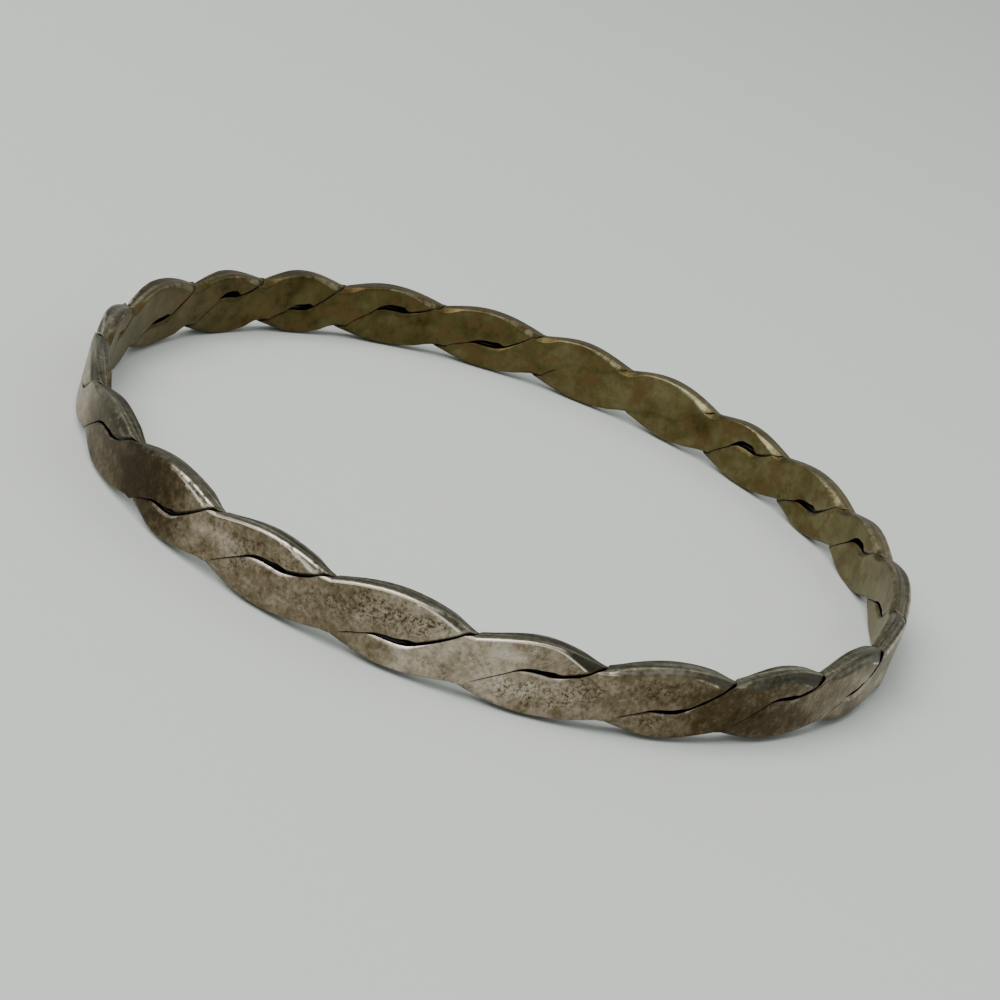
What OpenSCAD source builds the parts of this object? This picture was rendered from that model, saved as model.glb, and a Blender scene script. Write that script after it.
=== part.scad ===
// Twisted bangle: two round wires twisted together, rolled flat and soldered into a ring.
// Millimetres. The ring lies flat on z = 0 with its axis along +Z, centred on the origin.

/* [Ring] */
// Inner diameter of the ring, which goes over the hand
inner_d = 65; // [60:1:70]
// Thickness of the rolled band, from its inner to its outer face
band_thick = 1.5; // [1.4:0.1:1.6]
// Height of the band at a crossing, its narrowest place
waist_h = 3.8; // [3.5:0.1:4]

/* [Wires] */
// Height that the stout wire takes from the slim one where they lie one above the other
stout_extra = 0.6; // [0.4:0.05:0.7]
// Gap between the two wires along their seam
seam_gap = 0.12; // [0.12:0.01:0.16]
// Climb of the seam on a rolled face, for each crossing, before and after its level stretch
seam_slope = 5; // [4:0.25:6]
// Level stretch of the seam halfway between two crossings, as a share of the way
seam_level = 0.24; // [0.16:0.02:0.3]
// Height of the open slot under the upper wire, along that stretch
slot_h = 0.25; // [0.1:0.05:0.3]
// Depth of the slot
slot_depth = 0.45; // [0.2:0.05:0.5]
// Height of the bevel on the lower wire, below the slot
lip_h = 0.22; // [0.1:0.02:0.3]
// Depth of that bevel
lip_depth = 0.13; // [0.05:0.02:0.2]

/* [Edges] */
// Bevel along the edges of the rolled faces
edge_cut = 0.2; // [0.1:0.05:0.3]
// Height of the slanted facet where a wire dives behind the other one
dive_h = 1; // [0.8:0.1:1.2]
// Depth of the slanted facet
dive_depth = 0.5; // [0.3:0.05:0.6]

/* [Solder joint] */
// Where the solder joint starts, in crossings before its rings are crowded
joint_start = 13.2; // [13.1:0.05:13.3]
// Length of the solder joint, in crossings
joint_length = 1.47; // [1.4:0.01:1.6]
// Gap between the solder joint and the ends of the wires
joint_gap = 0.05; // [0.04:0.01:0.1]

/* [Facets] */
// Rings of facets between two crossings
wire_rings = 17; // [16:1:17]
// How closely the rings crowd at the crossings, where the wires turn fastest
ring_crowding = 0.75; // [0.75:0.05:0.85]
// Sides of the solder joint's section
joint_sides = 24; // [20:2:28]

/* [Hidden] */

// The two wires by number: the slim one is strand_a, the stout one strand_b
SLIM = 0;
STOUT = 1;

// One row for each crossing, anticlockwise from the left end of the front.
// shift: how far the crossing stands ahead of an even spacing, in degrees
// lean: how far its top runs ahead of its foot, in degrees
// rise: how far the upper edge stands above the waist halfway to the next crossing
// drop: how far the lower edge hangs below the waist there
SHIFT = 0;
LEAN = 1;
RISE = 2;
DROP = 3;
CROSSINGS = [
    [-2.0,  1.0, 0.80, 0.70],
    [-1.0, -1.5, 1.00, 0.65],
    [-1.0,  1.0, 0.90, 0.70],
    [ 0.0, -0.5, 1.15, 0.60],
    [ 0.5,  1.5, 1.00, 0.70],
    [ 1.0, -0.5, 1.00, 0.65],
    [ 1.5,  1.5, 0.85, 0.60],
    [ 2.0, -0.5, 0.80, 0.55],
    [ 2.0, -0.5, 0.75, 0.80],
    [ 0.0,  0.0, 0.85, 0.85],
    [ 2.5,  1.0, 0.75, 0.95],
    [ 2.0, -1.0, 0.80, 0.80],
    [ 1.5,  1.5, 0.75, 0.80],
    [ 0.5,  0.0, 0.95, 0.70],
    [-0.5,  1.5, 0.80, 0.80],
    [-1.0,  0.0, 0.80, 0.80],
    [-0.5,  0.0, 0.80, 0.80],
    [ 0.5,  0.0, 0.95, 0.85],
    [-1.0,  0.5, 0.80, 0.90],
    [-2.0, -0.5, 1.00, 0.65],
    [-0.5,  1.0, 0.85, 0.80],
    [-3.5,  3.5, 0.75, 0.70]
];
crossings = len(CROSSINGS);
crossing_angle = 360 / crossings;
// Direction of the first crossing, were the spacing even
first_angle = -153.2;

half_thick = band_thick / 2;
half_waist = waist_h / 2;
middle_r = inner_d / 2 + half_thick;
joint_end = joint_start + joint_length;
// The joint gap, in crossings
gap_share = joint_gap / (middle_r * crossing_angle * PI / 180);
// How far the two wires run into each other inside the solder joint
fused_depth = 0.1;
// Steepness of the seam next to a crossing, and softness of the bends at its level stretch
seam_turn = 0.06;
seam_bend = 0.03;
// Least height and depth of a cut along the seam
hairline = 0.03;
// A cut takes at most this share of the face that it is in
cut_share = 0.7;
// A corner of the band's section that lies nearer to the seam than this gives way to it
seam_margin = 0.05;
// Hollow in the middle of a wire's face that looks at the other wire
seam_hollow = 0.06;
// Shares of the way between two crossings where the slot starts, is whole, starts to close and ends
slot_from = 0.28;
slot_whole = 0.5;
slot_closing = 0.6;
slot_to = 0.68;
// Shares of the way between two crossings where the slanted facet starts and is whole
dive_from = 0.6;
dive_to = 0.95;

function total(list) = list * [for (i = list) 1];
function ease(t) = let (s = min(max(t, 0), 1)) s * s * (3 - 2 * s);
function row(n) = CROSSINGS[n % crossings];
function eased(column, at) =
    let (n = floor(at))
    row(n)[column] + (row(n + 1)[column] - row(n)[column]) * ease(at - n);

// Place on the ring, in crossings, of an even count of rings
function crowded(even) = even - ring_crowding / (2 * PI) * sin(360 * even);
function share_of(at) = at - floor(at);

// A value where it is positive, else 0, with a soft bend between the two
function soft_ramp(value) = (value + norm([value, seam_bend])) / 2;
// How far the seam on the outer face stands below the seam's middle
function seam_climb(at) =
    let (
        past = share_of(at) - 0.5,
        near = max(0.5 - abs(past), 0.000001)
    )
    seam_slope * (soft_ramp(-past - seam_level / 2) - soft_ramp(past - seam_level / 2))
        - sign(past) * seam_turn * pow(1 - 2 * near, 3) / near;
// Direction in the section in which a wire lies from the middle of the pair: 0 is up, 90 is outward
function roll_of(at, wire) = atan2(seam_climb(at), half_thick) + (is_upper(at, wire) ? 0 : 180);

function toward(roll) = [cos(roll), sin(roll)];
function is_upper(at, wire) = (floor(at) + wire) % 2 == 0;
function top_of(at, wire) =
    half_waist + (is_upper(at, wire) ? row(floor(at))[RISE] * sin(180 * share_of(at)) : 0);
function foot_of(at, wire) =
    half_waist + (is_upper(at, wire) ? 0 : row(floor(at))[DROP] * sin(180 * share_of(at)));
// Height of the seam's middle: above the band's middle where the slim wire is the upper one
function seam_lift(at) = stout_extra * pow(sin(180 * at), 2) * (is_upper(at, SLIM) ? 1 : -1);

// The bevel of an edge, [height, depth], which widens into a slanted facet where the wire dives
function edge_bevel(dives, share) =
    let (whole = dives ? ease((share - dive_from) / (dive_to - dive_from)) : 0)
    [edge_cut + (dive_h - edge_cut) * whole, edge_cut + (dive_depth - edge_cut) * whole];

// The corners of the band's section as a wire has them, clockwise from the top: [height, outward]
function band_corners(at, wire) =
    let (
        upper = is_upper(at, wire),
        share = share_of(at),
        top = top_of(at, wire),
        foot = foot_of(at, wire),
        top_out = edge_bevel(upper, share),
        top_in = edge_bevel(upper, 1 - share),
        foot_out = edge_bevel(!upper, 1 - share),
        foot_in = edge_bevel(!upper, share)
    )
    [
        [top, 0],
        [top, half_thick - top_out.y],
        [top - top_out.x, half_thick],
        [foot_out.x - foot, half_thick],
        [-foot, half_thick - foot_out.y],
        [-foot, 0],
        [-foot, foot_in.y - half_thick],
        [foot_in.x - foot, -half_thick],
        [top - top_in.x, -half_thick],
        [top, top_in.y - half_thick]
    ];

// How deep in a wire a point of the section lies, below the face that looks at the other wire
function seam_depth(at, wire, point) =
    let (side = toward(roll_of(at, wire)))
    point * side - seam_lift(at) * side.x - seam_gap / 2;

// How far the seam is opened, from 0 to 1, on the outer or the inner face
function slot_share(at, out) =
    let (along = out ? share_of(at) : 1 - share_of(at))
    ease((along - slot_from) / (slot_whole - slot_from))
        * (1 - ease((along - slot_closing) / (slot_to - slot_closing)));

// The cut along the seam, [height, depth]: the slot's roof on the upper wire, a bevel on the lower one
function seam_cut(at, wire, out) =
    let (
        open = slot_share(at, out),
        whole = is_upper(at, wire) ? [slot_h, slot_depth] : [lip_h, lip_depth]
    )
    [hairline, hairline] + (whole - [hairline, hairline]) * open;

function moved(from, to, distance) = from + (to - from) * min(distance / norm(to - from), cut_share);

// Where the seam leaves the section, on the way from a corner in the wire to a corner beyond the seam
function seam_end(inner, outer, inner_depth, outer_depth) =
    inner + (outer - inner) * min(inner_depth / (inner_depth - outer_depth), 1);

// A wire's section has as many points as the band's. The corners in the wire keep their places. The
// others lie along the seam: a cut at both ends, and the rest evenly between, in a slight hollow.
function wire_section(at, wire) =
    let (
        corners = band_corners(at, wire),
        count = len(corners),
        depths = [for (corner = corners) seam_depth(at, wire, corner)],
        kept = [for (depth = depths) depth > seam_margin ? 1 : 0],
        amount = total(kept),
        first = [for (i = [0 : count - 1]) if (kept[i] > kept[(i + count - 1) % count]) i][0],
        before = (first + count - 1) % count,
        last = (first + amount - 1) % count,
        after = (last + 1) % count,
        near_end = seam_end(corners[last], corners[after], depths[last], depths[after]),
        far_end = seam_end(corners[first], corners[before], depths[first], depths[before]),
        near_cut = seam_cut(at, wire, is_upper(at, wire)),
        far_cut = seam_cut(at, wire, !is_upper(at, wire)),
        near_seam = moved(near_end, far_end, near_cut.y),
        far_seam = moved(far_end, near_end, far_cut.y),
        hollow = seam_hollow * toward(roll_of(at, wire)),
        lost = count - amount
    )
    assert(lost > 3, "too few corners beyond the seam")
    [
        for (slot = [0 : count - 1])
            let (past = (slot - first + count) % count, spare = past - amount)
            past < amount ? corners[slot]
            : spare == 0 ? moved(near_end, corners[last], near_cut.x)
            : spare == lost - 1 ? moved(far_end, corners[first], far_cut.x)
            : spare == 1 ? near_seam
            : spare == lost - 2 ? far_seam
            : near_seam + (far_seam - near_seam) * (spare - 1) / (lost - 3) + hollow
    ];

// A wire's section as flat faces, each [upward part, outward part, distance]: a unit normal and how far
// the face lies along it from the middle of the pair
function fused_faces(at, wire) =
    let (
        corners = band_corners(at, wire),
        count = len(corners),
        side = toward(roll_of(at, wire))
    )
    concat(
        [
            for (i = [0 : count - 1])
                let (
                    along = corners[(i + 1) % count] - corners[i],
                    size = norm(along)
                )
                [along.y / size, -along.x / size, (along.y * corners[i].x - along.x * corners[i].y) / size]
        ],
        [[-side.x, -side.y, fused_depth / 2 - seam_lift(at) * side.x]]
    );

// Distance from the middle of the pair to where a ray leaves one of the fused wires, or 0
function fused_reach(faces, direction) =
    let (
        exit = min([for (f = faces) let (d = f[0] * direction.x + f[1] * direction.y) if (d > 0) f[2] / d]),
        entry = max([for (f = faces) let (d = f[0] * direction.x + f[1] * direction.y) if (d < 0) f[2] / d])
    )
    entry < exit ? exit : 0;

function joint_section(at) =
    let (
        fused = [for (wire = [SLIM, STOUT]) fused_faces(at, wire)],
        tall = half_waist
    )
    [
        for (side = [0 : joint_sides - 1])
            let (
                turn = 360 * side / joint_sides,
                direction = [tall * cos(turn), half_thick * sin(turn)]
            )
            direction * max([for (faces = fused) fused_reach(faces, direction)])
    ];

// A point of a section, [height, outward], set round the ring
function on_ring(at, point) =
    let (
        angle = first_angle + crossing_angle * at + eased(SHIFT, at) + eased(LEAN, at) * point.x / waist_h,
        radius = middle_r + point.y
    )
    [radius * cos(angle), radius * sin(angle), point.x];

function ring_of(at, section) = [for (point = section) on_ring(at, point)];

// Places at which a stretch has its rings of facets
function ring_places(start, end) =
    let (steps = round((end - start) * wire_rings))
    [for (step = [0 : steps]) crowded(start + (end - start) * step / steps)];

function wire_rings_of(wire) = [
    for (at = ring_places(joint_end + gap_share, joint_start + crossings - gap_share))
        ring_of(at, wire_section(at, wire))
];
function joint_rings_of() = [
    for (at = ring_places(joint_start, joint_end))
        ring_of(at, joint_section(at))
];

slim_rings = wire_rings_of(SLIM);
stout_rings = wire_rings_of(STOUT);
joint_rings = joint_rings_of();

// The box of all the points, which sets the ring on z = 0 and over the origin
every_point = [for (rings = [slim_rings, stout_rings, joint_rings]) for (ring = rings) each ring];
function lowest(axis) = min([for (point = every_point) point[axis]]);
function highest(axis) = max([for (point = every_point) point[axis]]);
settle = [-(lowest(0) + highest(0)) / 2, -(lowest(1) + highest(1)) / 2, -lowest(2)];

// A closed skin over a row of rings with the same number of points, flat at both ends
module skin(rings) {
    sides = len(rings[0]);
    last = (len(rings) - 1) * sides;
    points = [for (ring = rings) each ring];
    near_end = [for (side = [1 : sides - 2]) [0, side, side + 1]];
    far_end = [for (side = [1 : sides - 2]) [last, last + side + 1, last + side]];
    walls = [
        for (ring = [0 : sides : last - sides])
            for (side = [0 : sides - 1])
                let (
                    near = ring + side,
                    near_next = ring + (side + 1) % sides,
                    far = near + sides,
                    far_next = near_next + sides,
                    across = norm(points[near] - points[far_next]),
                    back = norm(points[near_next] - points[far])
                )
                each across < back
                    ? [[near, far, far_next], [near, far_next, near_next]]
                    : [[near, far, near_next], [near_next, far, far_next]]
    ];
    translate(settle) polyhedron(points = points, faces = concat(near_end, far_end, walls));
}

module strand_a() {
    color("#8e887e") skin(slim_rings);
}

module strand_b() {
    color("#837d73") skin(stout_rings);
}

module solder_joint() {
    color("#9a948a") skin(joint_rings);
}

strand_a();
strand_b();
solder_joint();
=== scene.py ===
import math

import bpy
import numpy as np
from mathutils import Matrix, Quaternion, Vector


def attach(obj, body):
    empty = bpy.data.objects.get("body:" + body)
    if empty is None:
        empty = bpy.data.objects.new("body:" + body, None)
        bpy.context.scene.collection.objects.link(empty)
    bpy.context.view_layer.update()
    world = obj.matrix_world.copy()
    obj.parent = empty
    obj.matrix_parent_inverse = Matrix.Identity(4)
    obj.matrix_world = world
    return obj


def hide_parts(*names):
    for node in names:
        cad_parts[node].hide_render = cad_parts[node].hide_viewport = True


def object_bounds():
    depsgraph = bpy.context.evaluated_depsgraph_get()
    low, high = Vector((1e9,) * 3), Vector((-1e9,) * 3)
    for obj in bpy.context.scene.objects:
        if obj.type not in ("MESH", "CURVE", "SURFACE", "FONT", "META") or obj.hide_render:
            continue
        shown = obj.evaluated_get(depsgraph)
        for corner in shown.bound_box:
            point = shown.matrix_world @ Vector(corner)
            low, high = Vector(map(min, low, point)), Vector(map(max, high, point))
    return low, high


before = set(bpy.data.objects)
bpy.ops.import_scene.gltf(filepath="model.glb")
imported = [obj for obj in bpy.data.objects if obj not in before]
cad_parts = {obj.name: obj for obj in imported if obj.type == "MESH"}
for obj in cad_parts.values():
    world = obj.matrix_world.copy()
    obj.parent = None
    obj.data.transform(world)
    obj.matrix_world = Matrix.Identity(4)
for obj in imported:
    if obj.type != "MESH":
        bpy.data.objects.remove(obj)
cad_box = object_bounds()

# Lengths below are millimetres unless a comment says otherwise. A section is drawn in two
# directions: z is up, u is outward from the middle of the band.
MM = 0.001

# The rolled band
INNER_R = 32.5
HALF_THICK = 0.75
HALF_WAIST = 1.9
FIRST_ANGLE = -153.2

# The seam between the wires. On a rolled face it climbs from the foot of one crossing, runs level
# in the middle and climbs again to the top of the next one.
SEAM_GAP = 0.004
SEAM_LIFT = 0.6
SEAM_SLOPE = 5.0
SEAM_LEVEL = 0.12
SEAM_BEND = 0.03
SEAM_TURN = 0.06
# The least share of the way from a crossing, so that the seam's turn there stays finite
NEAREST = 1e-6
# How flat and how steep, as a cosine and a sine, the seam has to stand to be cut on a face and a wall
STEEP_SEAM = 0.3
STEEP_ON_WALL = 0.5

# Each SPAN, and each pair named OPENS, CLOSES, RISES or FADES, is the part of the way from one
# crossing to the next over which something grows or fades.

# Bevels: height and depth along the edges, of the facets where a wire dives, and on the inside at
# each crossing. ROUND_CUT is what a rounder edge adds to the outer bevel.
EDGE_CUT = (0.13, 0.13)
DIVE_CUT = (1.0, 0.5)
DIVE_SPAN = (0.52, 1.0)
INNER_DIVE_CUT = (0.6, 0.4)
WAIST_CUT = (0.3, 0.35)
WAIST_SPAN = (0.04, 0.2)
ROUND_CUT = (0.6, 0.25)
ROUND_SPREAD = 2
# How many times sooner than its cut a dive facet takes its own colour
FACET_GROWTH = 3
# The bright line along the inner upper edge, worn metal with a painted highlight, and how much of it is
# lost on the dive facet there
DAB_RISES = (0.35, 0.6)
DAB_FADES = (0.84, 0.95)
DAB_LOSS = 0.4

# Cuts along the seam's corners: height on the face and depth into the seam. The upper wire has the
# slot, with a narrower line on from it to the tip, and the lower wire has the lip below them.
HAIRLINE = (0.05, 0.06)
SLOT = (0.36, 0.55)
SLOT_OPENS = (0.28, 0.5)
SLOT_CLOSES = (0.6, 0.68)
TIP_LINE = (0.26, 0.32)
TIP_OPENS = (0.5, 0.68)
LIP = (0.22, 0.12)
LIP_OPENS = (0.22, 0.5)
LIP_CLOSES = (0.65, 0.85)
NOTCH = (0.05, 0.15)
# The slot's and the tip line's size on the inside, against the outside
INNER_SLOT = 1.9
INNER_TIP = 0.4
# How dark the painted shade of the seam is where it is only a hairline
HAIRLINE_DARK = 0.9
# The mouth where a wire dives, painted dark as shade: how deep it is cut, and the least turn between
# its two faces
MOUTH_DEPTH = 0.14
MOUTH_SPAN = (0.75, 1)
MOUTH_TURN = 0.2

# How sharply a section's faces meet, and the least distance of a face from the rays' start
SHARPNESS = 40
LEAST_REACH = 0.02
# Distance of a face that is out of the way
FAR = 1000
# The oval along which rays leave a section: each half axis, and its change where the seam is steep
RAYS_LONG = (1.15, 0.55)
RAYS_SHORT = (0.75, -0.375)

# The solder joint: its ends, in crossings of even twist, the width over which the two wires blend, how
# deep the hollow between them is as a share, and how dark
JOINT_START = 13.2
JOINT_END = 14.67
JOINT_BLEND = 0.13
JOINT_HOLLOW = 0.02
JOINT_DARK = 0.5

# Density of the meshes
WIRE_RINGS = 1250
WIRE_SIDES = 78
JOINT_RINGS = 150
JOINT_SIDES = 150
FINE_SIDES = 360
TURN_WEIGHT = 0.6
RING_CROWD = 0.75
# Width of the last strip at each end, thin so that its shading blends into the flat end unseen
END_STRIP = 0.001

# One row for each crossing, anticlockwise from the left end of the front.
# shift: how far the crossing stands ahead of an even spacing, in degrees
# lean: how far its top runs ahead of its foot, in degrees
# rise: how far the upper edge stands above the waist halfway to the next crossing
# drop: how far the lower edge hangs below the waist there
# open: how far the seam gapes there, as a share of a full slot
# tone: how much of the dark tarnish is rubbed off at the crossing
# shine: how bright the edges are at the crossing, worn metal lightened by a painted highlight
# bare_and_highlit: how much bright bare metal, with a painted highlight, shows round the facet where
# the wire dives before the next crossing
# round: how much rounder than elsewhere the outer face's upper edge is on the way there
# facet_size: how large the outer upper facet is where the wire dives, as a share of DIVE_CUT
CROSSINGS = np.array([
    [-2.0, 1.0, 0.80, 0.70, 0.8, 0.35, 0.0, 0.1, 0.6, 0.6],
    [-1.0, -1.5, 1.00, 0.65, 1.0, 0.12, 0.0, 0.6, 0.2, 0.45],
    [-1.0, 1.0, 0.90, 0.70, 1.0, 0.60, 1.0, 0.7, 0.0, 0.55],
    [0.0, -0.5, 1.15, 0.60, 1.1, 0.60, 1.0, 0.2, 0.0, 0.45],
    [0.5, 1.5, 1.00, 0.70, 0.9, 0.92, 0.8, 0.0, 0.0, 1.0],
    [1.0, -0.5, 1.00, 0.65, 0.8, 0.66, 0.5, 0.0, 0.5, 0.7],
    [1.5, 1.5, 0.85, 0.60, 0.9, 0.25, 0.0, 0.0, 1.0, 1.0],
    [2.0, -0.5, 0.80, 0.55, 1.5, 0.50, 0.1, 0.0, 0.8, 1.0],
    [2.0, -0.5, 0.75, 0.80, 0.8, 0.50, 0.5, 0.5, 0.0, 1.0],
    [0.0, 0.0, 0.85, 0.85, 0.8, 0.65, 0.5, 0.5, 0.0, 1.0],
    [2.5, 1.0, 0.75, 0.95, 1.0, 0.65, 0.5, 0.5, 0.0, 1.0],
    [2.0, -1.0, 0.80, 0.80, 1.0, 0.60, 0.5, 0.5, 0.0, 1.0],
    [1.5, 1.5, 0.75, 0.80, 1.0, 0.50, 0.5, 0.5, 0.0, 1.0],
    [0.5, 0.0, 0.95, 0.70, 0.0, 0.50, 0.8, 0.5, 0.0, 1.0],
    [-0.5, 1.5, 0.80, 0.80, 0.8, 0.50, 0.5, 0.5, 0.0, 1.0],
    [-1.0, 0.0, 0.80, 0.80, 0.9, 0.45, 0.4, 0.5, 0.0, 1.0],
    [-0.5, 0.0, 0.80, 0.80, 0.9, 0.35, 0.4, 0.5, 0.0, 1.0],
    [0.5, 0.0, 0.95, 0.85, 1.0, 0.30, 0.3, 0.5, 0.0, 1.0],
    [-1.0, 0.5, 0.80, 0.90, 1.0, 0.25, 0.3, 0.5, 0.0, 1.0],
    [-2.0, -0.5, 1.00, 0.65, 0.8, 0.30, 0.3, 0.5, 0.0, 1.0],
    [-0.5, 1.0, 0.85, 0.80, 0.6, 0.40, 0.4, 0.5, 0.0, 1.0],
    [-3.5, 3.5, 0.75, 0.70, 0.7, 0.50, 0.1, 0.0, 0.5, 1.0],
])
SHIFT, LEAN, RISE, DROP, OPEN, TONE, SHINE, BARE_AND_HIGHLIGHT, ROUND, FACET_SIZE = range(10)
TURNS = len(CROSSINGS)

# Where between two crossings the shine passes from one to the other
SHINE_SPAN = (0.35, 0.95)

# Kinds of face that the material tells apart
PARTS = ("outside", "inside", "wall", "bevel", "facet", "dab", "seam", "lip", "hollow")

# Patches on the rolled faces, one a row: outside 1 or inside -1, place in crossings, height, half its
# length in crossings, half its height, and how strong it is. The first table's make the metal paler or,
# below 0, darker, and the second's carry specks of thick tarnish. PATCH_EDGE is how sharply they end.
PATCH_EDGE = 4
STAINS = (
    (1, 21.6, 0.0, 0.55, 3.0, 0.5),
    (1, 0.6, -1.7, 0.36, 1.7, 0.16),
    (1, 0.75, 2.15, 0.2, 0.35, -0.4),
    (1, 1.35, 0.3, 0.38, 2.6, -0.2),
    (1, 2.1, 0.5, 0.25, 0.7, 0.2),
    (1, 4.3, 1.4, 0.12, 0.3, 0.25),
    (1, 4.45, -0.7, 0.3, 0.8, 0.2),
    (1, 6.4, -1.0, 0.5, 1.0, -0.15),
    (1, 7.2, -0.9, 0.2, 1.0, 0.2),
    (1, 7.6, 0.3, 0.25, 1.0, 0.3),
    (1, 8.0, -1.2, 0.35, 1.0, 0.3),
    (-1, 11.6, -0.3, 0.12, 0.7, -0.2),
    (-1, 12.4, 0.2, 0.12, 0.7, -0.2),
    (-1, 13.1, 0.3, 0.15, 1.1, -0.4),
)
SPECKLED = (
    (1, 1.3, 0.5, 0.4, 2.0, 0.6),
    (1, 2.4, 0.8, 0.3, 1.0, 0.5),
    (1, 3.5, 1.2, 0.32, 1.1, 0.9),
    (1, 3.05, 0.3, 0.2, 0.8, 0.7),
    (1, 4.5, -0.9, 0.28, 0.9, 0.8),
    (1, 4.85, 0.4, 0.15, 1.0, 0.8),
    (1, 5.4, 1.0, 0.4, 0.8, 0.6),
    (1, 5.4, -1.2, 0.2, 0.6, 0.7),
)

# Colours of the metal, from thick tarnish to rubbed
OUTSIDE_TONES = (
    (0.0, (0.03, 0.018, 0.004)),
    (0.24, (0.085, 0.06, 0.028)),
    (0.48, (0.2, 0.158, 0.1)),
    (0.72, (0.36, 0.3, 0.225)),
    (0.8, (0.44, 0.375, 0.29)),
    (1.0, (0.56, 0.5, 0.41)),
)
INSIDE_TONES = (
    (0.0, (0.04, 0.028, 0.006)),
    (0.4, (0.11, 0.09, 0.033)),
    (0.8, (0.2, 0.175, 0.085)),
    (1.0, (0.3, 0.28, 0.17)),
)
# The narrow walls and the dive facets are coloured darker than the faces as painted shade; the streaks
# on them are real marks
WALL_TONES = ((0.15, (0.035, 0.033, 0.018)), (0.5, (0.14, 0.132, 0.088)), (0.85, (0.34, 0.325, 0.24)))
FACET_COLOUR = (0.06, 0.053, 0.038)
RUST_COLOUR = (0.13, 0.08, 0.03)
SPECK_COLOUR = (0.045, 0.032, 0.012)
# Worn metal, lightened further to stand as a painted highlight along the edges, facet rims and lips
WORN_AND_HIGHLIGHT_COLOUR = (0.9, 0.81, 0.66)
# Worn metal inside the ring, lightened as a painted highlight
INNER_WORN_AND_HIGHLIGHT_COLOUR = (0.4, 0.37, 0.235)
# Near black painted shade in the seam between the wires, its cuts, notches and the mouths
SEAM_COLOUR = (0.008, 0.006, 0.004)
# How far the dive facets take on their dark colour, a painted shade, and how far the hollows take on
# theirs
FACET_DARK = 0.75
HOLLOW_DARK = 0.5

# Noises: about how many millimetres their blotches measure, their detail and their roughness
NOISES = {
    "broad": (2.4, 3.0, 0.55),
    "blotch": (0.7, 4.0, 0.65),
    "grain": (0.3, 3.0, 0.65),
    "fine": (0.16, 2.0, 0.6),
    "clusters": (1.3, 3.0, 0.55),
    "rust": (1.7, 3.0, 0.6),
}
# Streaks on the walls are noise laid along the ring: so many blotches for each crossing, and for each
# half of the band's thickness
STREAKS_SCALE = (1.1, 2.4, 1)

# What the looks are summed from: noises and the mesh's own values, each with its weight. Level is
# the same everywhere.
OUTSIDE_SUM = {"tone": 0.8, "broad": 0.56, "blotch": 0.72, "grain": 0.48, "level": -0.88}
INSIDE_SUM = {"tone": 1.0, "broad": 0.9, "blotch": 0.6, "grain": 0.1, "level": -0.8}
WALL_SUM = {"streaks": 1.6, "blotch": 0.5, "grain": 0.5, "level": -0.85}
SPECKS_SUM = {"fine": 0.55, "grain": 0.45}
SPECKLED_SUM = {"speckled": 0.8, "clusters": 0.5}
WORN_AND_HIGHLIGHT_SUM = {"blotch": 0.8, "broad": 0.5, "shine": 0.6}
LIP_SUM = {"shine": 0.65, "level": 0.25}
ROUGH_SUM = {"grain": 0.35, "blotch": 0.15, "rubbed_and_highlit": -0.16, "level": 0.22}
BUMP_SUM = {"fine": 0.3, "grain": 0.6, "blotch": 1.0, "broad": 1.5, "streaks": 1.0}
BUMP_STRENGTH = 0.45
BUMP_DEPTH = 0.04

# Where each mark begins and is complete on its own scale and, for some, how strong it is at both
MARKS = {
    "rust": (0.5, 0.62, 0.0, 0.7),
    "clusters": (0.45, 0.65),
    "specks": (0.51, 0.43),
    "specks_inside": (0.0, 1.0, 0.85, 0.35),
    "far_side": (-5 * MM, 15 * MM, 0.0, 0.7),
    "worn_and_highlit": (0.65, 1.1),
    "low_line": (0.5, 0.95),
    "bevel_line": (0.3, 0.75, 0.0, 0.4),
    "facet_rim": (0.05, 0.5),
    "bare_and_highlit_blotch": (0.4, 0.6),
    "lip": (0.2, 1.0),
    "lip_blotch": (0.35, 0.6, 0.3, 0.9),
    "inner_line": (0.4, 0.9, 0.0, 0.65),
    "dab": (0.4, 0.8, 0.0, 0.35),
    "dab_blotch": (0.34, 0.64),
    "seam": (0.2, 0.95),
}

# The camera, seen from the middle of the ring: degrees, a lens for a 36 mm sensor, and how near the
# camera still sees
CAMERA_DISTANCE = 184.7
CAMERA_ELEVATION = 21.25
CAMERA_PAN = -0.16
CAMERA_TILT = -0.52
CAMERA_ROLL = -19.65
CAMERA_LENS = 82.83
CAMERA_NEAREST = 10

# The floor, the room's light and the lamps: the direction each stands in, its distance and size in
# metres, and its watts
FLOOR_HALF = 3000
FLOOR_COLOUR = (0.6, 0.63, 0.59)
FLOOR_ROUGH = 0.9
FLOOR_SPECULAR = 0.1
ROOM_COLOUR = (0.95, 0.98, 1.0)
ROOM_STRENGTH = 0.45
LAMPS = {
    "key": ((-0.4, -0.35, 0.85), 0.8, 0.7, 8),
    "fill": ((0.5, 0.4, 0.7), 1.2, 0.9, 3),
}


def ease(t):
    t = np.clip(t, 0, 1)
    return t * t * (3 - 2 * t)


def step_between(value, low, high):
    return ease((value - low) / (high - low))


def between(value, rises, fades):
    """1 between two spans, easing to 0 over each of them."""
    return step_between(value, *rises) * (1 - step_between(value, *fades))


def row_value(column, at):
    """A column's value for the stretch between two crossings."""
    return CROSSINGS[np.floor(at).astype(int) % TURNS, column]


def eased(column, at, start=0, end=1):
    """A column's value, eased from each crossing to the next over this part of the way."""
    share = step_between(at - np.floor(at), start, end)
    return row_value(column, at) * (1 - share) + row_value(column, at + 1) * share


def ring_places(start, end, rings):
    """Places round the ring, closer together near the crossings, with a thin strip at each end."""
    even = np.linspace(start, end, rings)
    even = np.insert(even, [1, rings - 1], [start + END_STRIP, end - END_STRIP])
    return even - RING_CROWD / (2 * math.pi) * np.sin(2 * math.pi * even)


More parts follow.
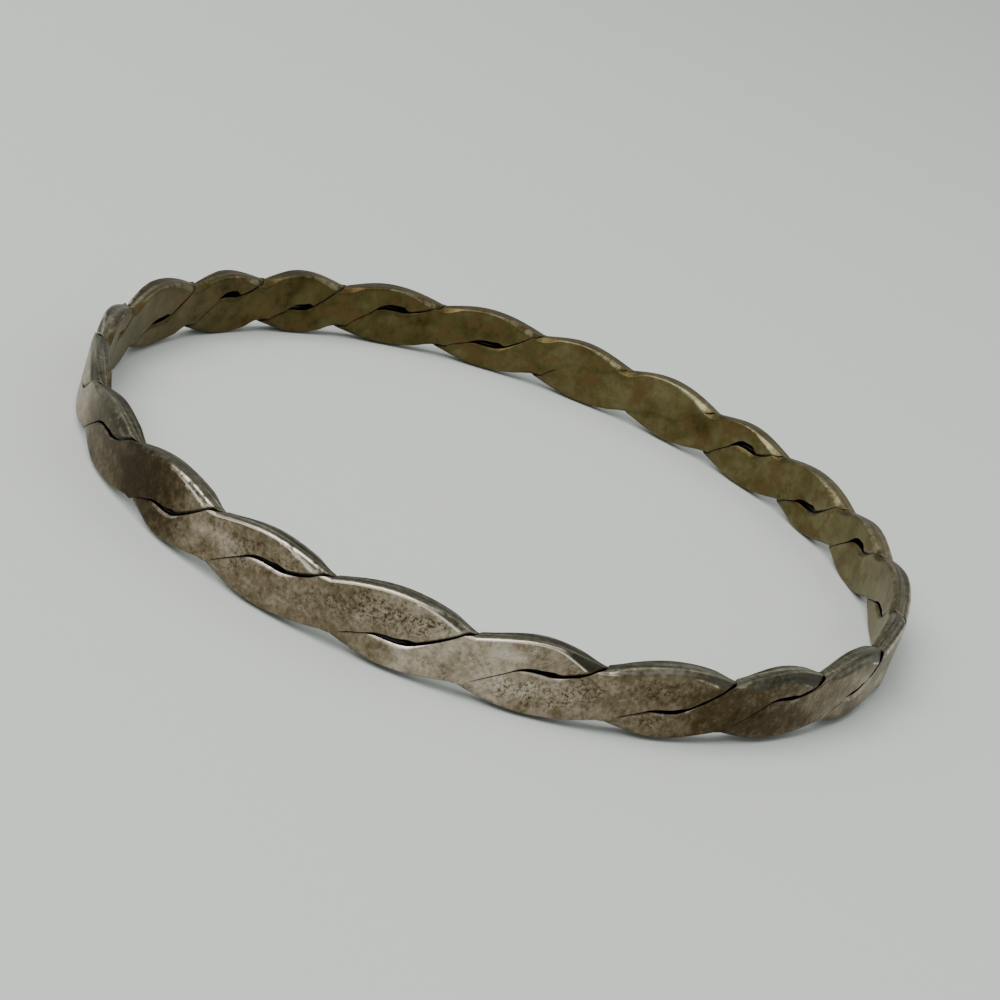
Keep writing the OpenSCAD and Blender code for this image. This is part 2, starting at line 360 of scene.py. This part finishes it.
def soft_ramp(value):
    """The value where it is positive, else 0, with a soft bend between the two."""
    return (value + np.hypot(value, SEAM_BEND)) / 2


def seam_climb(share):
    """How far the seam on the outer face stands below the seam's middle, between two crossings."""
    past = share - 0.5
    near = np.maximum(np.minimum(share, 1 - share), NEAREST)
    climb = SEAM_SLOPE * (soft_ramp(-past - SEAM_LEVEL) - soft_ramp(past - SEAM_LEVEL))
    return climb - np.sign(past) * SEAM_TURN * (1 - 2 * near) ** 3 / near


def corner_kinds(up, out, along, whole, rounder, waist):
    """Each kind's share of the bevel at one of a section's corners."""
    if up < 0:
        return {"outside" if out > 0 else "inside": 1}
    if out > 0:
        facet = np.minimum(FACET_GROWTH * whole, 1)
        return {"bevel": (1 - facet) * (1 - rounder), "wall": (1 - facet) * rounder, "facet": facet}
    dab = between(along, DAB_RISES, DAB_FADES) * (1 - DAB_LOSS * whole)
    return {"dab": dab, "inside": 1 - dab, "hollow": waist}


class Section:
    """The flat faces that bound a wire's section at many places round the ring."""

    def __init__(self, at, wire):
        number = np.floor(at).astype(int)
        self.at, self.share = at, at - number
        self.swell = np.sin(math.pi * self.share)
        self.upper = (number + wire) % 2 == 0
        side = np.where(self.upper, 1, -1)
        climb = seam_climb(self.share)
        self.cos = side * HALF_THICK / np.hypot(HALF_THICK, climb)
        self.sin = side * climb / np.hypot(HALF_THICK, climb)
        self.lift = np.where(number % 2 == 0, SEAM_LIFT, -SEAM_LIFT) * self.swell ** 2
        self.top = HALF_WAIST + row_value(RISE, at) * self.swell * self.upper
        self.foot = HALF_WAIST + row_value(DROP, at) * self.swell * ~self.upper
        self.middle_z = self.cos * (np.where(self.upper, self.top, self.foot) + side * self.lift) / 2
        self.middle_u = self.sin * HALF_THICK / 2
        self.faces = []
        self.facets = []
        self.add_outer_faces()

    def add(self, up, out, distance, **parts):
        """A face with this unit normal, at this distance from the middle of the pair."""
        ones = np.ones_like(self.at)
        parts = {name: part * ones for name, part in parts.items()}
        self.faces.append((up * ones, out * ones, distance * ones, parts))

    def add_outer_faces(self):
        self.add(0, 1, HALF_THICK, outside=1)
        self.add(0, -1, HALF_THICK, inside=1)
        self.add(1, 0, self.top, wall=1)
        self.add(-1, 0, self.foot, wall=1)
        for up in (1, -1):
            for out in (1, -1):
                dives = self.upper if up > 0 else ~self.upper
                leaving = up * out > 0
                self.add_corner(up, out, self.share if leaving else 1 - self.share, dives)

    def add_corner(self, up, out, along, dives):
        """A bevel along an edge, which widens into a facet where the wire dives."""
        outer_top = up > 0 and out > 0
        whole = step_between(along, *DIVE_SPAN) * dives
        waist = (1 - step_between(np.minimum(along, 1 - along), *WAIST_SPAN)) * (out < 0)
        rounder = row_value(ROUND, self.at) * ease(ROUND_SPREAD * self.swell) * outer_top
        large = row_value(FACET_SIZE, self.at) if outer_top else 1
        dive_cut = [cut * large for cut in (DIVE_CUT if out > 0 else INNER_DIVE_CUT)]
        high, deep = [
            edge + (dive - edge) * whole + (extra * waist + soft * rounder) * (1 - whole)
            for edge, dive, extra, soft in zip(EDGE_CUT, dive_cut, WAIST_CUT, ROUND_CUT)
        ]
        size = np.hypot(high, deep)
        height = self.top if up > 0 else self.foot
        rise, side = up * deep / size, out * high / size
        distance = (deep * height + high * (HALF_THICK - deep)) / size
        self.add(rise, side, distance, **corner_kinds(up, out, along, whole, rounder, waist))
        self.facets.append((rise, side, distance, step_between(along, *MOUTH_SPAN) * dives))

    def add_seam(self):
        """The face that looks at the other wire, and the cuts that open the seam."""
        seam = self.lift * self.cos + SEAM_GAP / 2
        self.add(-self.cos, -self.sin, -seam, seam=1)
        for out in (1, -1):
            self.add_seam_cut(seam, out)
        self.add_wall_notches(seam)
        self.add_mouths(seam)

    def add_seam_cut(self, seam, out):
        """The cut along the seam's corner with the outer or the inner rolled face."""
        along = self.share if out > 0 else 1 - self.share
        gape = row_value(OPEN, self.at)
        slot_gape, tip_gape = (gape, gape) if out > 0 else (gape * INNER_SLOT, gape * INNER_TIP)
        slot = between(along, SLOT_OPENS, SLOT_CLOSES) * slot_gape
        lip = between(along, LIP_OPENS, LIP_CLOSES) * slot_gape
        tip = step_between(along, *TIP_OPENS) * tip_gape
        high, deep = [
            hair + np.where(self.upper, (line - hair) * tip + (full - hair) * slot, (edge - hair) * lip)
            for hair, line, full, edge in zip(HAIRLINE, TIP_LINE, SLOT, LIP)
        ]
        rise, side = -deep * self.cos, high * out - deep * self.sin
        size = np.hypot(rise, side)
        clear = np.abs(self.cos) > STEEP_SEAM
        corner = (seam - self.sin * out * HALF_THICK) / np.where(clear, self.cos, STEEP_SEAM)
        distance = (rise * corner + side * out * HALF_THICK - deep * high * np.abs(self.cos)) / size
        # The lip is painted pale as worn metal with a highlight, and the rest of the cut dark as
        # painted shade
        pale = np.where(self.upper, 0, lip)
        dark = HAIRLINE_DARK + (1 - HAIRLINE_DARK) * np.maximum(tip, slot)
        kinds = {"lip" if out > 0 else "inside": pale, "seam": dark * (1 - pale)}
        self.add(rise / size, side / size, np.where(clear, distance, FAR), **kinds)

    def add_wall_notches(self, seam):
        """The cuts along the seam where it crosses the narrow walls."""
        steep = np.abs(self.sin) > STEEP_ON_WALL
        sin = np.where(steep, self.sin, 1)
        wide, deep = NOTCH
        for up in (1, -1):
            height = self.top if up > 0 else self.foot
            corner = (seam - up * height * self.cos) / sin
            rise, side = wide * up - deep * self.cos, -deep * self.sin
            size = np.hypot(rise, side)
            distance = (rise * up * height + side * corner - deep * wide * np.abs(self.sin)) / size
            # Painted dark as shade, like the seam
            self.add(rise / size, side / size, np.where(steep, distance, FAR), seam=1)

    def add_mouths(self, seam):
        """A bevel between each dive facet and the seam, painted dark as shade."""
        for up, out, distance, share in self.facets:
            turned = self.cos * out - self.sin * up
            meets = (share > 0) & (turned > MOUTH_TURN)
            turned = np.where(meets, turned, 1)
            corner_z = (out * seam - self.sin * distance) / turned
            corner_u = (self.cos * distance - up * seam) / turned
            rise, side = up - self.cos, out - self.sin
            size = np.hypot(rise, side)
            cut = (rise * corner_z + side * corner_u) / size - MOUTH_DEPTH * share
            self.add(rise / size, side / size, np.where(meets, cut, FAR), seam=1)

    def angles(self, sides):
        """Even angles for the section's points, the same for every place."""
        return np.tile(np.linspace(0, 2 * math.pi, sides, endpoint=False), (len(self.at), 1))

    def points(self, turn):
        """Where rays at these angles leave the rounded section, and each kind of face's part in it."""
        long, short = [half + change * self.sin ** 2 for half, change in (RAYS_LONG, RAYS_SHORT)]
        start = np.arctan2(-self.sin / short, -self.cos / long)
        ray_z = np.cos(turn + start[:, None]) * long[:, None]
        ray_u = np.sin(turn + start[:, None]) * short[:, None]
        reach, parts = self.reach(ray_z, ray_u, self.middle_z, self.middle_u)
        return self.middle_z[:, None] + reach * ray_z, self.middle_u[:, None] + reach * ray_u, parts

    def reach(self, ray_z, ray_u, from_z, from_u):
        """How far rays from a point run to the rounded faces, and each kind's part where they end."""
        total = np.zeros_like(ray_z)
        parts = {name: np.zeros_like(ray_z) for name in PARTS}
        for up, out, distance, shares in self.faces:
            away = np.maximum(distance - up * from_z - out * from_u, LEAST_REACH)
            toward = ray_z * up[:, None] + ray_u * out[:, None]
            push = np.maximum(0, toward / away[:, None]) ** SHARPNESS
            for name, share in shares.items():
                parts[name] += push * share[:, None]
            total += push
        parts = {name: part / total for name, part in parts.items()}
        return total ** (-1 / SHARPNESS), parts


def crowded(z, u, turn, sides):
    """Angles at which points lie evenly along a section, closer where it bends."""
    step_z = np.roll(z, -1, 1) - z
    step_u = np.roll(u, -1, 1) - u
    heading = np.arctan2(step_u, step_z)
    bend = np.abs((heading - np.roll(heading, 1, 1) + math.pi) % (2 * math.pi) - math.pi)
    weight = np.hypot(step_z, step_u) + TURN_WEIGHT * (bend + np.roll(bend, -1, 1)) / 2
    run = np.concatenate([np.zeros((len(z), 1)), np.cumsum(weight, 1)], 1)
    ends = np.concatenate([turn, turn[:, :1] + 2 * math.pi], 1)
    wanted = np.linspace(0, 1, sides, endpoint=False)
    return np.array([np.interp(wanted * r[-1], r, e) for r, e in zip(run, ends)])


def on_ring(at, z, u):
    """Points of sections, set round the ring."""
    angle = FIRST_ANGLE + 360 / TURNS * at + eased(SHIFT, at)
    angle = np.radians(angle[:, None] + eased(LEAN, at)[:, None] * z / (2 * HALF_WAIST))
    radius = INNER_R + HALF_THICK + u
    return np.stack([radius * np.cos(angle), radius * np.sin(angle), z], -1)


def wire_surface(wire):
    section = Section(ring_places(JOINT_END, JOINT_START + TURNS, WIRE_RINGS), wire)
    section.add_seam()
    even = section.angles(FINE_SIDES)
    z, u, parts = section.points(even)
    z, u, parts = section.points(crowded(z, u, even, WIRE_SIDES))
    return section.at, z, u, parts


def joint_surface():
    """The two wires' sections as one outline, with the seam left as a faint hollow."""
    at = ring_places(JOINT_START, JOINT_END, JOINT_RINGS)
    turn = np.linspace(0, 2 * math.pi, JOINT_SIDES, endpoint=False)
    ray_z = np.tile(np.cos(turn) * HALF_WAIST, (len(at), 1))
    ray_u = np.tile(np.sin(turn) * HALF_THICK, (len(at), 1))
    slim, stout = Section(at, 0), Section(at, 1)
    centre = np.zeros_like(at)
    (slim_reach, slim_parts), (stout_reach, stout_parts) = [
        section.reach(ray_z, ray_u, centre, centre) for section in (slim, stout)]
    across = ray_z * slim.cos[:, None] + ray_u * slim.sin[:, None]
    past = across * slim_reach - (slim.lift * slim.cos)[:, None]
    share = step_between(past, -JOINT_BLEND, JOINT_BLEND)
    reach = slim_reach * share + stout_reach * (1 - share)
    hollow = np.exp(-(past / JOINT_BLEND) ** 2)
    parts = {name: slim_parts[name] * share + stout_parts[name] * (1 - share) for name in slim_parts}
    parts["hollow"] += JOINT_DARK * hollow
    reach = reach * (1 - JOINT_HOLLOW * hollow)
    return at, reach * ray_z, reach * ray_u, parts


def patches_at(patches, at, z, u):
    """How strong the patches of a table are at each point."""
    total = np.zeros_like(z)
    for side, place, height, length, tall, amount in patches:
        apart = (at[:, None] - place + TURNS / 2) % TURNS - TURNS / 2
        near = np.exp(-(apart / length) ** PATCH_EDGE - ((z - height) / tall) ** PATCH_EDGE)
        total += amount * near * (u * side > 0)
    return total


def skin_faces(rings, sides):
    """One face over each end, and quads between neighbouring rings."""
    first = np.arange(rings * sides).reshape(rings, sides)
    near, far = first[:-1], first[1:]
    quads = np.stack([near, np.roll(near, -1, 1), np.roll(far, -1, 1), far], -1).reshape(-1, 4)
    return [first[0][::-1].tolist(), first[-1].tolist(), *quads.tolist()]


def build(name, at, z, u, parts):
    """A mesh object in metres, still in the ring's own place, with its face parts as attributes."""
    rings, sides = z.shape
    mesh = bpy.data.meshes.new(name)
    mesh.from_pydata((on_ring(at, z, u) * MM).reshape(-1, 3).tolist(), [], skin_faces(rings, sides))
    values_at_points = dict(
        parts,
        tone=eased(TONE, at)[:, None] + patches_at(STAINS, at, z, u),
        speckled=patches_at(SPECKLED, at, z, u),
        shine=np.tile(eased(SHINE, at, *SHINE_SPAN)[:, None], (1, sides)),
        bare_and_highlit=np.tile(row_value(BARE_AND_HIGHLIGHT, at)[:, None], (1, sides)),
        along=np.tile(at[:, None], (1, sides)),
        across=u / HALF_THICK,
    )
    for part, values in values_at_points.items():
        layer = mesh.attributes.new(part, "FLOAT", "POINT")
        layer.data.foreach_set("value", values.astype(np.float32).ravel())
    mesh.shade_smooth()
    for end in list(mesh.polygons)[:2]:
        end.use_smooth = False
    piece = bpy.data.objects.new(name, mesh)
    bpy.context.collection.objects.link(piece)
    return piece


pieces = [
    build("wire_slim", *wire_surface(0)),
    build("wire_stout", *wire_surface(1)),
    build("fused_ends", *joint_surface()),
]

# The meshes are made round the ring's own middle: bring them to where the frame has the ring
lows = np.min([np.min([v.co for v in piece.data.vertices], 0) for piece in pieces], 0)
highs = np.max([np.max([v.co for v in piece.data.vertices], 0) for piece in pieces], 0)
ring_middle = (Vector(cad_box[0]) + Vector(cad_box[1])) / 2 - Vector((lows + highs) / 2)
nodes_and_slots = (("strand_a", "wire"), ("strand_b", "wire"), ("solder_joint", "solder"))
for piece, (node, slot) in zip(pieces, nodes_and_slots):
    piece.data.transform(Matrix.Translation(ring_middle))
    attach(piece, "root")
    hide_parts(node)


class Nodes:
    """A short way to write a material's nodes."""

    def __init__(self, name):
        self.material = bpy.data.materials.new(name)
        self.material.use_nodes = True
        self.tree = self.material.node_tree
        self.shader = self.tree.nodes["Principled BSDF"]
        self.signals = {"level": 1.0}

    def make(self, kind, settings=None, **inputs):
        node = self.tree.nodes.new(kind)
        for key, value in (settings or {}).items():
            setattr(node, key, value)
        for key, value in inputs.items():
            self.feed(node.inputs[key.replace("_", " ")], value)
        return node

    def feed(self, socket, value):
        if isinstance(value, bpy.types.NodeSocket):
            self.tree.links.new(value, socket)
        else:
            socket.default_value = value

    def attribute(self, name):
        return self.make("ShaderNodeAttribute", {"attribute_name": name}).outputs["Fac"]

    def math(self, operation, first, second=0.0, clamp=False):
        node = self.make("ShaderNodeMath", {"operation": operation, "use_clamp": clamp})
        self.feed(node.inputs[0], first)
        self.feed(node.inputs[1], second)
        return node.outputs[0]

    def times(self, first, second):
        return self.math("MULTIPLY", first, second, True)

    def meeting(self, first, second):
        """1 in the middle of the bend between two kinds of face, 0 on the faces themselves."""
        return self.times(self.times(first, second), 4.0)

    def sum_of(self, weights):
        """The sum of the signals that a table names, each times its weight."""
        total = 0.0
        for name, weight in weights.items():
            node = self.make("ShaderNodeMath", {"operation": "MULTIPLY_ADD"})
            for socket, given in zip(node.inputs, (self.signals[name], weight, total)):
                self.feed(socket, given)
            total = node.outputs[0]
        return total

    def noise(self, place, scale, **more):
        return self.make("ShaderNodeTexNoise", Vector=place, Scale=scale, **more).outputs["Fac"]

    def mark(self, name, value):
        """How strong a mark is where its own scale has this value."""
        low, high, *strengths = MARKS[name]
        node = self.make("ShaderNodeMapRange", {"interpolation_type": "SMOOTHSTEP"})
        for index, given in enumerate((value, low, high, *(strengths or (0.0, 1.0)))):
            self.feed(node.inputs[index], given)
        return node.outputs[0]

    def ramp(self, value, stops):
        """Colours along a scale from 0 to 1."""
        node = self.make("ShaderNodeValToRGB", Fac=value)
        points = node.color_ramp.elements
        points.remove(points[1])
        for index, (at, colour) in enumerate(stops):
            point = points[0] if index == 0 else points.new(at)
            point.position = at
            point.color = (*colour, 1)
        return node.outputs["Color"]

    def mix(self, share, first, second):
        node = self.make("ShaderNodeMix", {"data_type": "RGBA"})
        self.feed(node.inputs["Factor"], share)
        self.feed(node.inputs[6], (*first, 1) if isinstance(first, tuple) else first)
        self.feed(node.inputs[7], (*second, 1) if isinstance(second, tuple) else second)
        return node.outputs[2]


def add_signals(nodes):
    """The noises, and the values that the meshes carry, which the looks are summed from."""
    signals = nodes.signals
    place = nodes.make("ShaderNodeTexCoord").outputs["Object"]
    for name, (size, detail, rough) in NOISES.items():
        signals[name] = nodes.noise(place, 1 / (size * MM), Detail=detail, Roughness=rough)
    for name in (*PARTS, "tone", "speckled", "shine", "bare_and_highlit", "along", "across"):
        signals[name] = nodes.attribute(name)
    signals["clusters"] = nodes.mark("clusters", signals["clusters"])
    signals["far_side"] = nodes.make("ShaderNodeSeparateXYZ", Vector=place).outputs["Y"]
    ring_place = nodes.make("ShaderNodeCombineXYZ", X=signals["along"], Y=signals["across"]).outputs[0]
    laid = nodes.make("ShaderNodeMapping", Vector=ring_place, Scale=STREAKS_SCALE).outputs[0]
    signals["streaks"] = nodes.noise(laid, 1.0, Detail=2.0)


def inner_colour(nodes):
    """The inside of the ring: fainter and more olive tarnish, with reddish patches."""
    tarnish = nodes.ramp(nodes.sum_of(INSIDE_SUM), INSIDE_TONES)
    return nodes.mix(nodes.mark("rust", nodes.signals["rust"]), tarnish, RUST_COLOUR)


def face_colour(nodes, inner):
    """The rolled faces: dark tarnish, rubbed paler in blotches, with specks in clusters."""
    inside = nodes.signals["inside"]
    outer = nodes.ramp(nodes.sum_of(OUTSIDE_SUM), OUTSIDE_TONES)
    face = nodes.mix(nodes.math("ADD", inside, nodes.signals["dab"], True), outer, inner)
    specks = nodes.times(nodes.mark("specks", nodes.sum_of(SPECKS_SUM)), nodes.sum_of(SPECKLED_SUM))
    return nodes.mix(nodes.times(specks, nodes.mark("specks_inside", inside)), face, SPECK_COLOUR)


def wall_colour(nodes, inner):
    """The narrow walls and the dive facets: darker as painted shade, streaked, and olive on the far
    side.
    """
    wall = nodes.ramp(nodes.sum_of(WALL_SUM), WALL_TONES)
    wall = nodes.mix(nodes.mark("far_side", nodes.signals["far_side"]), wall, inner)
    return nodes.mix(nodes.times(nodes.signals["facet"], FACET_DARK), wall, FACET_COLOUR)


def rubbed_and_highlit_edges(nodes):
    """How much worn metal and painted highlight shows along the outer edges, round the facets and on
    the lips.
    """
    bevel, facet, blotch = [nodes.signals[name] for name in ("bevel", "facet", "blotch")]
    edge = nodes.math("ADD", bevel, facet, True)
    low_line = nodes.mark("low_line", nodes.meeting(edge, nodes.signals["outside"]))
    line = nodes.math("MAXIMUM", low_line, nodes.mark("bevel_line", bevel))
    line = nodes.times(line, nodes.mark("worn_and_highlit", nodes.sum_of(WORN_AND_HIGHLIGHT_SUM)))
    rims = nodes.mark("facet_rim", nodes.meeting(facet, nodes.math("SUBTRACT", 1.0, facet)))
    rims = nodes.times(nodes.times(nodes.signals["bare_and_highlit"], rims), nodes.mark("bare_and_highlit_blotch", blotch))
    lip = nodes.times(nodes.mark("lip_blotch", blotch), nodes.sum_of(LIP_SUM))
    lip = nodes.times(nodes.mark("lip", nodes.signals["lip"]), lip)
    return nodes.math("MAXIMUM", nodes.math("MAXIMUM", line, rims), lip)


def inner_worn_and_highlit_edges(nodes):
    """How much worn metal and painted highlight shows along the upper edge inside the ring."""
    dab = nodes.signals["dab"]
    line = nodes.mark("inner_line", nodes.meeting(dab, nodes.signals["inside"]))
    edge = nodes.math("MAXIMUM", line, nodes.mark("dab", dab))
    return nodes.times(edge, nodes.mark("dab_blotch", nodes.signals["blotch"]))


def tarnished_silver(name):
    nodes = Nodes(name)
    signals = nodes.signals
    add_signals(nodes)
    signals["rubbed_and_highlit"] = rubbed_and_highlit_edges(nodes)
    inner = inner_colour(nodes)
    on_wall = nodes.math("ADD", signals["wall"], signals["facet"], True)
    colour = nodes.mix(on_wall, face_colour(nodes, inner), wall_colour(nodes, inner))
    # Edges, facet rims and lips: worn metal with a painted highlight
    colour = nodes.mix(signals["rubbed_and_highlit"], colour, WORN_AND_HIGHLIGHT_COLOUR)
    # The inner upper edge: worn metal with a painted highlight
    colour = nodes.mix(inner_worn_and_highlit_edges(nodes), colour, INNER_WORN_AND_HIGHLIGHT_COLOUR)
    # The seam, its cuts, notches and the mouths: painted shade
    colour = nodes.mix(nodes.mark("seam", signals["seam"]), colour, SEAM_COLOUR)
    colour = nodes.mix(nodes.times(signals["hollow"], HOLLOW_DARK), colour, SPECK_COLOUR)
    nodes.feed(nodes.shader.inputs["Base Color"], colour)
    nodes.shader.inputs["Metallic"].default_value = 1.0
    nodes.feed(nodes.shader.inputs["Roughness"], nodes.sum_of(ROUGH_SUM))
    height = nodes.sum_of(BUMP_SUM)
    bump = nodes.make("ShaderNodeBump", Strength=BUMP_STRENGTH, Distance=BUMP_DEPTH * MM, Height=height)
    nodes.feed(nodes.shader.inputs["Normal"], bump.outputs["Normal"])
    return nodes.material


silver = tarnished_silver("tarnished_silver")
for piece in pieces:
    piece.data.materials.append(silver)


def add_floor():
    half = FLOOR_HALF * MM
    mesh = bpy.data.meshes.new("floor")
    corners = [(-half, -half, 0), (half, -half, 0), (half, half, 0), (-half, half, 0)]
    mesh.from_pydata(corners, [], [(0, 1, 2, 3)])
    floor = bpy.data.objects.new("floor", mesh)
    bpy.context.collection.objects.link(floor)
    nodes = Nodes("pale_floor")
    nodes.shader.inputs["Base Color"].default_value = (*FLOOR_COLOUR, 1)
    nodes.shader.inputs["Roughness"].default_value = FLOOR_ROUGH
    nodes.shader.inputs["Specular IOR Level"].default_value = FLOOR_SPECULAR
    mesh.materials.append(nodes.material)


def add_camera():
    elevation = math.radians(CAMERA_ELEVATION)
    from_ring = Vector((0, -math.cos(elevation), math.sin(elevation)))
    forward, right = -from_ring, Vector((1, 0, 0))
    up = right.cross(forward)
    for degrees, axis in ((CAMERA_PAN, "up"), (CAMERA_TILT, "right"), (CAMERA_ROLL, "forward")):
        pole = {"up": up, "right": right, "forward": forward}[axis].copy()
        turn = Quaternion(pole, math.radians(degrees))
        forward, right, up = turn @ forward, turn @ right, turn @ up
    data = bpy.data.cameras.new("camera")
    data.lens = CAMERA_LENS
    data.clip_start = CAMERA_NEAREST * MM
    camera = bpy.data.objects.new("camera", data)
    bpy.context.collection.objects.link(camera)
    axes = Matrix((right, up, -forward)).transposed().to_4x4()
    camera.matrix_world = Matrix.Translation(ring_middle + from_ring * CAMERA_DISTANCE * MM) @ axes
    bpy.context.scene.camera = camera


def add_light(name, direction, distance, size, watts):
    """A square soft light that looks at the ring from this direction."""
    data = bpy.data.lights.new(name, "AREA")
    data.size = size
    data.energy = watts
    light = bpy.data.objects.new(name, data)
    bpy.context.collection.objects.link(light)
    where = Vector(direction).normalized()
    light.location = ring_middle + where * distance
    light.rotation_mode = "QUATERNION"
    light.rotation_quaternion = where.to_track_quat("Z", "Y")


def add_world():
    world = bpy.data.worlds.new("studio")
    world.use_nodes = True
    background = world.node_tree.nodes["Background"]
    background.inputs["Color"].default_value = (*ROOM_COLOUR, 1)
    background.inputs["Strength"].default_value = ROOM_STRENGTH
    bpy.context.scene.world = world


add_floor()
add_camera()
for name, lamp in LAMPS.items():
    add_light(name, *lamp)
add_world()
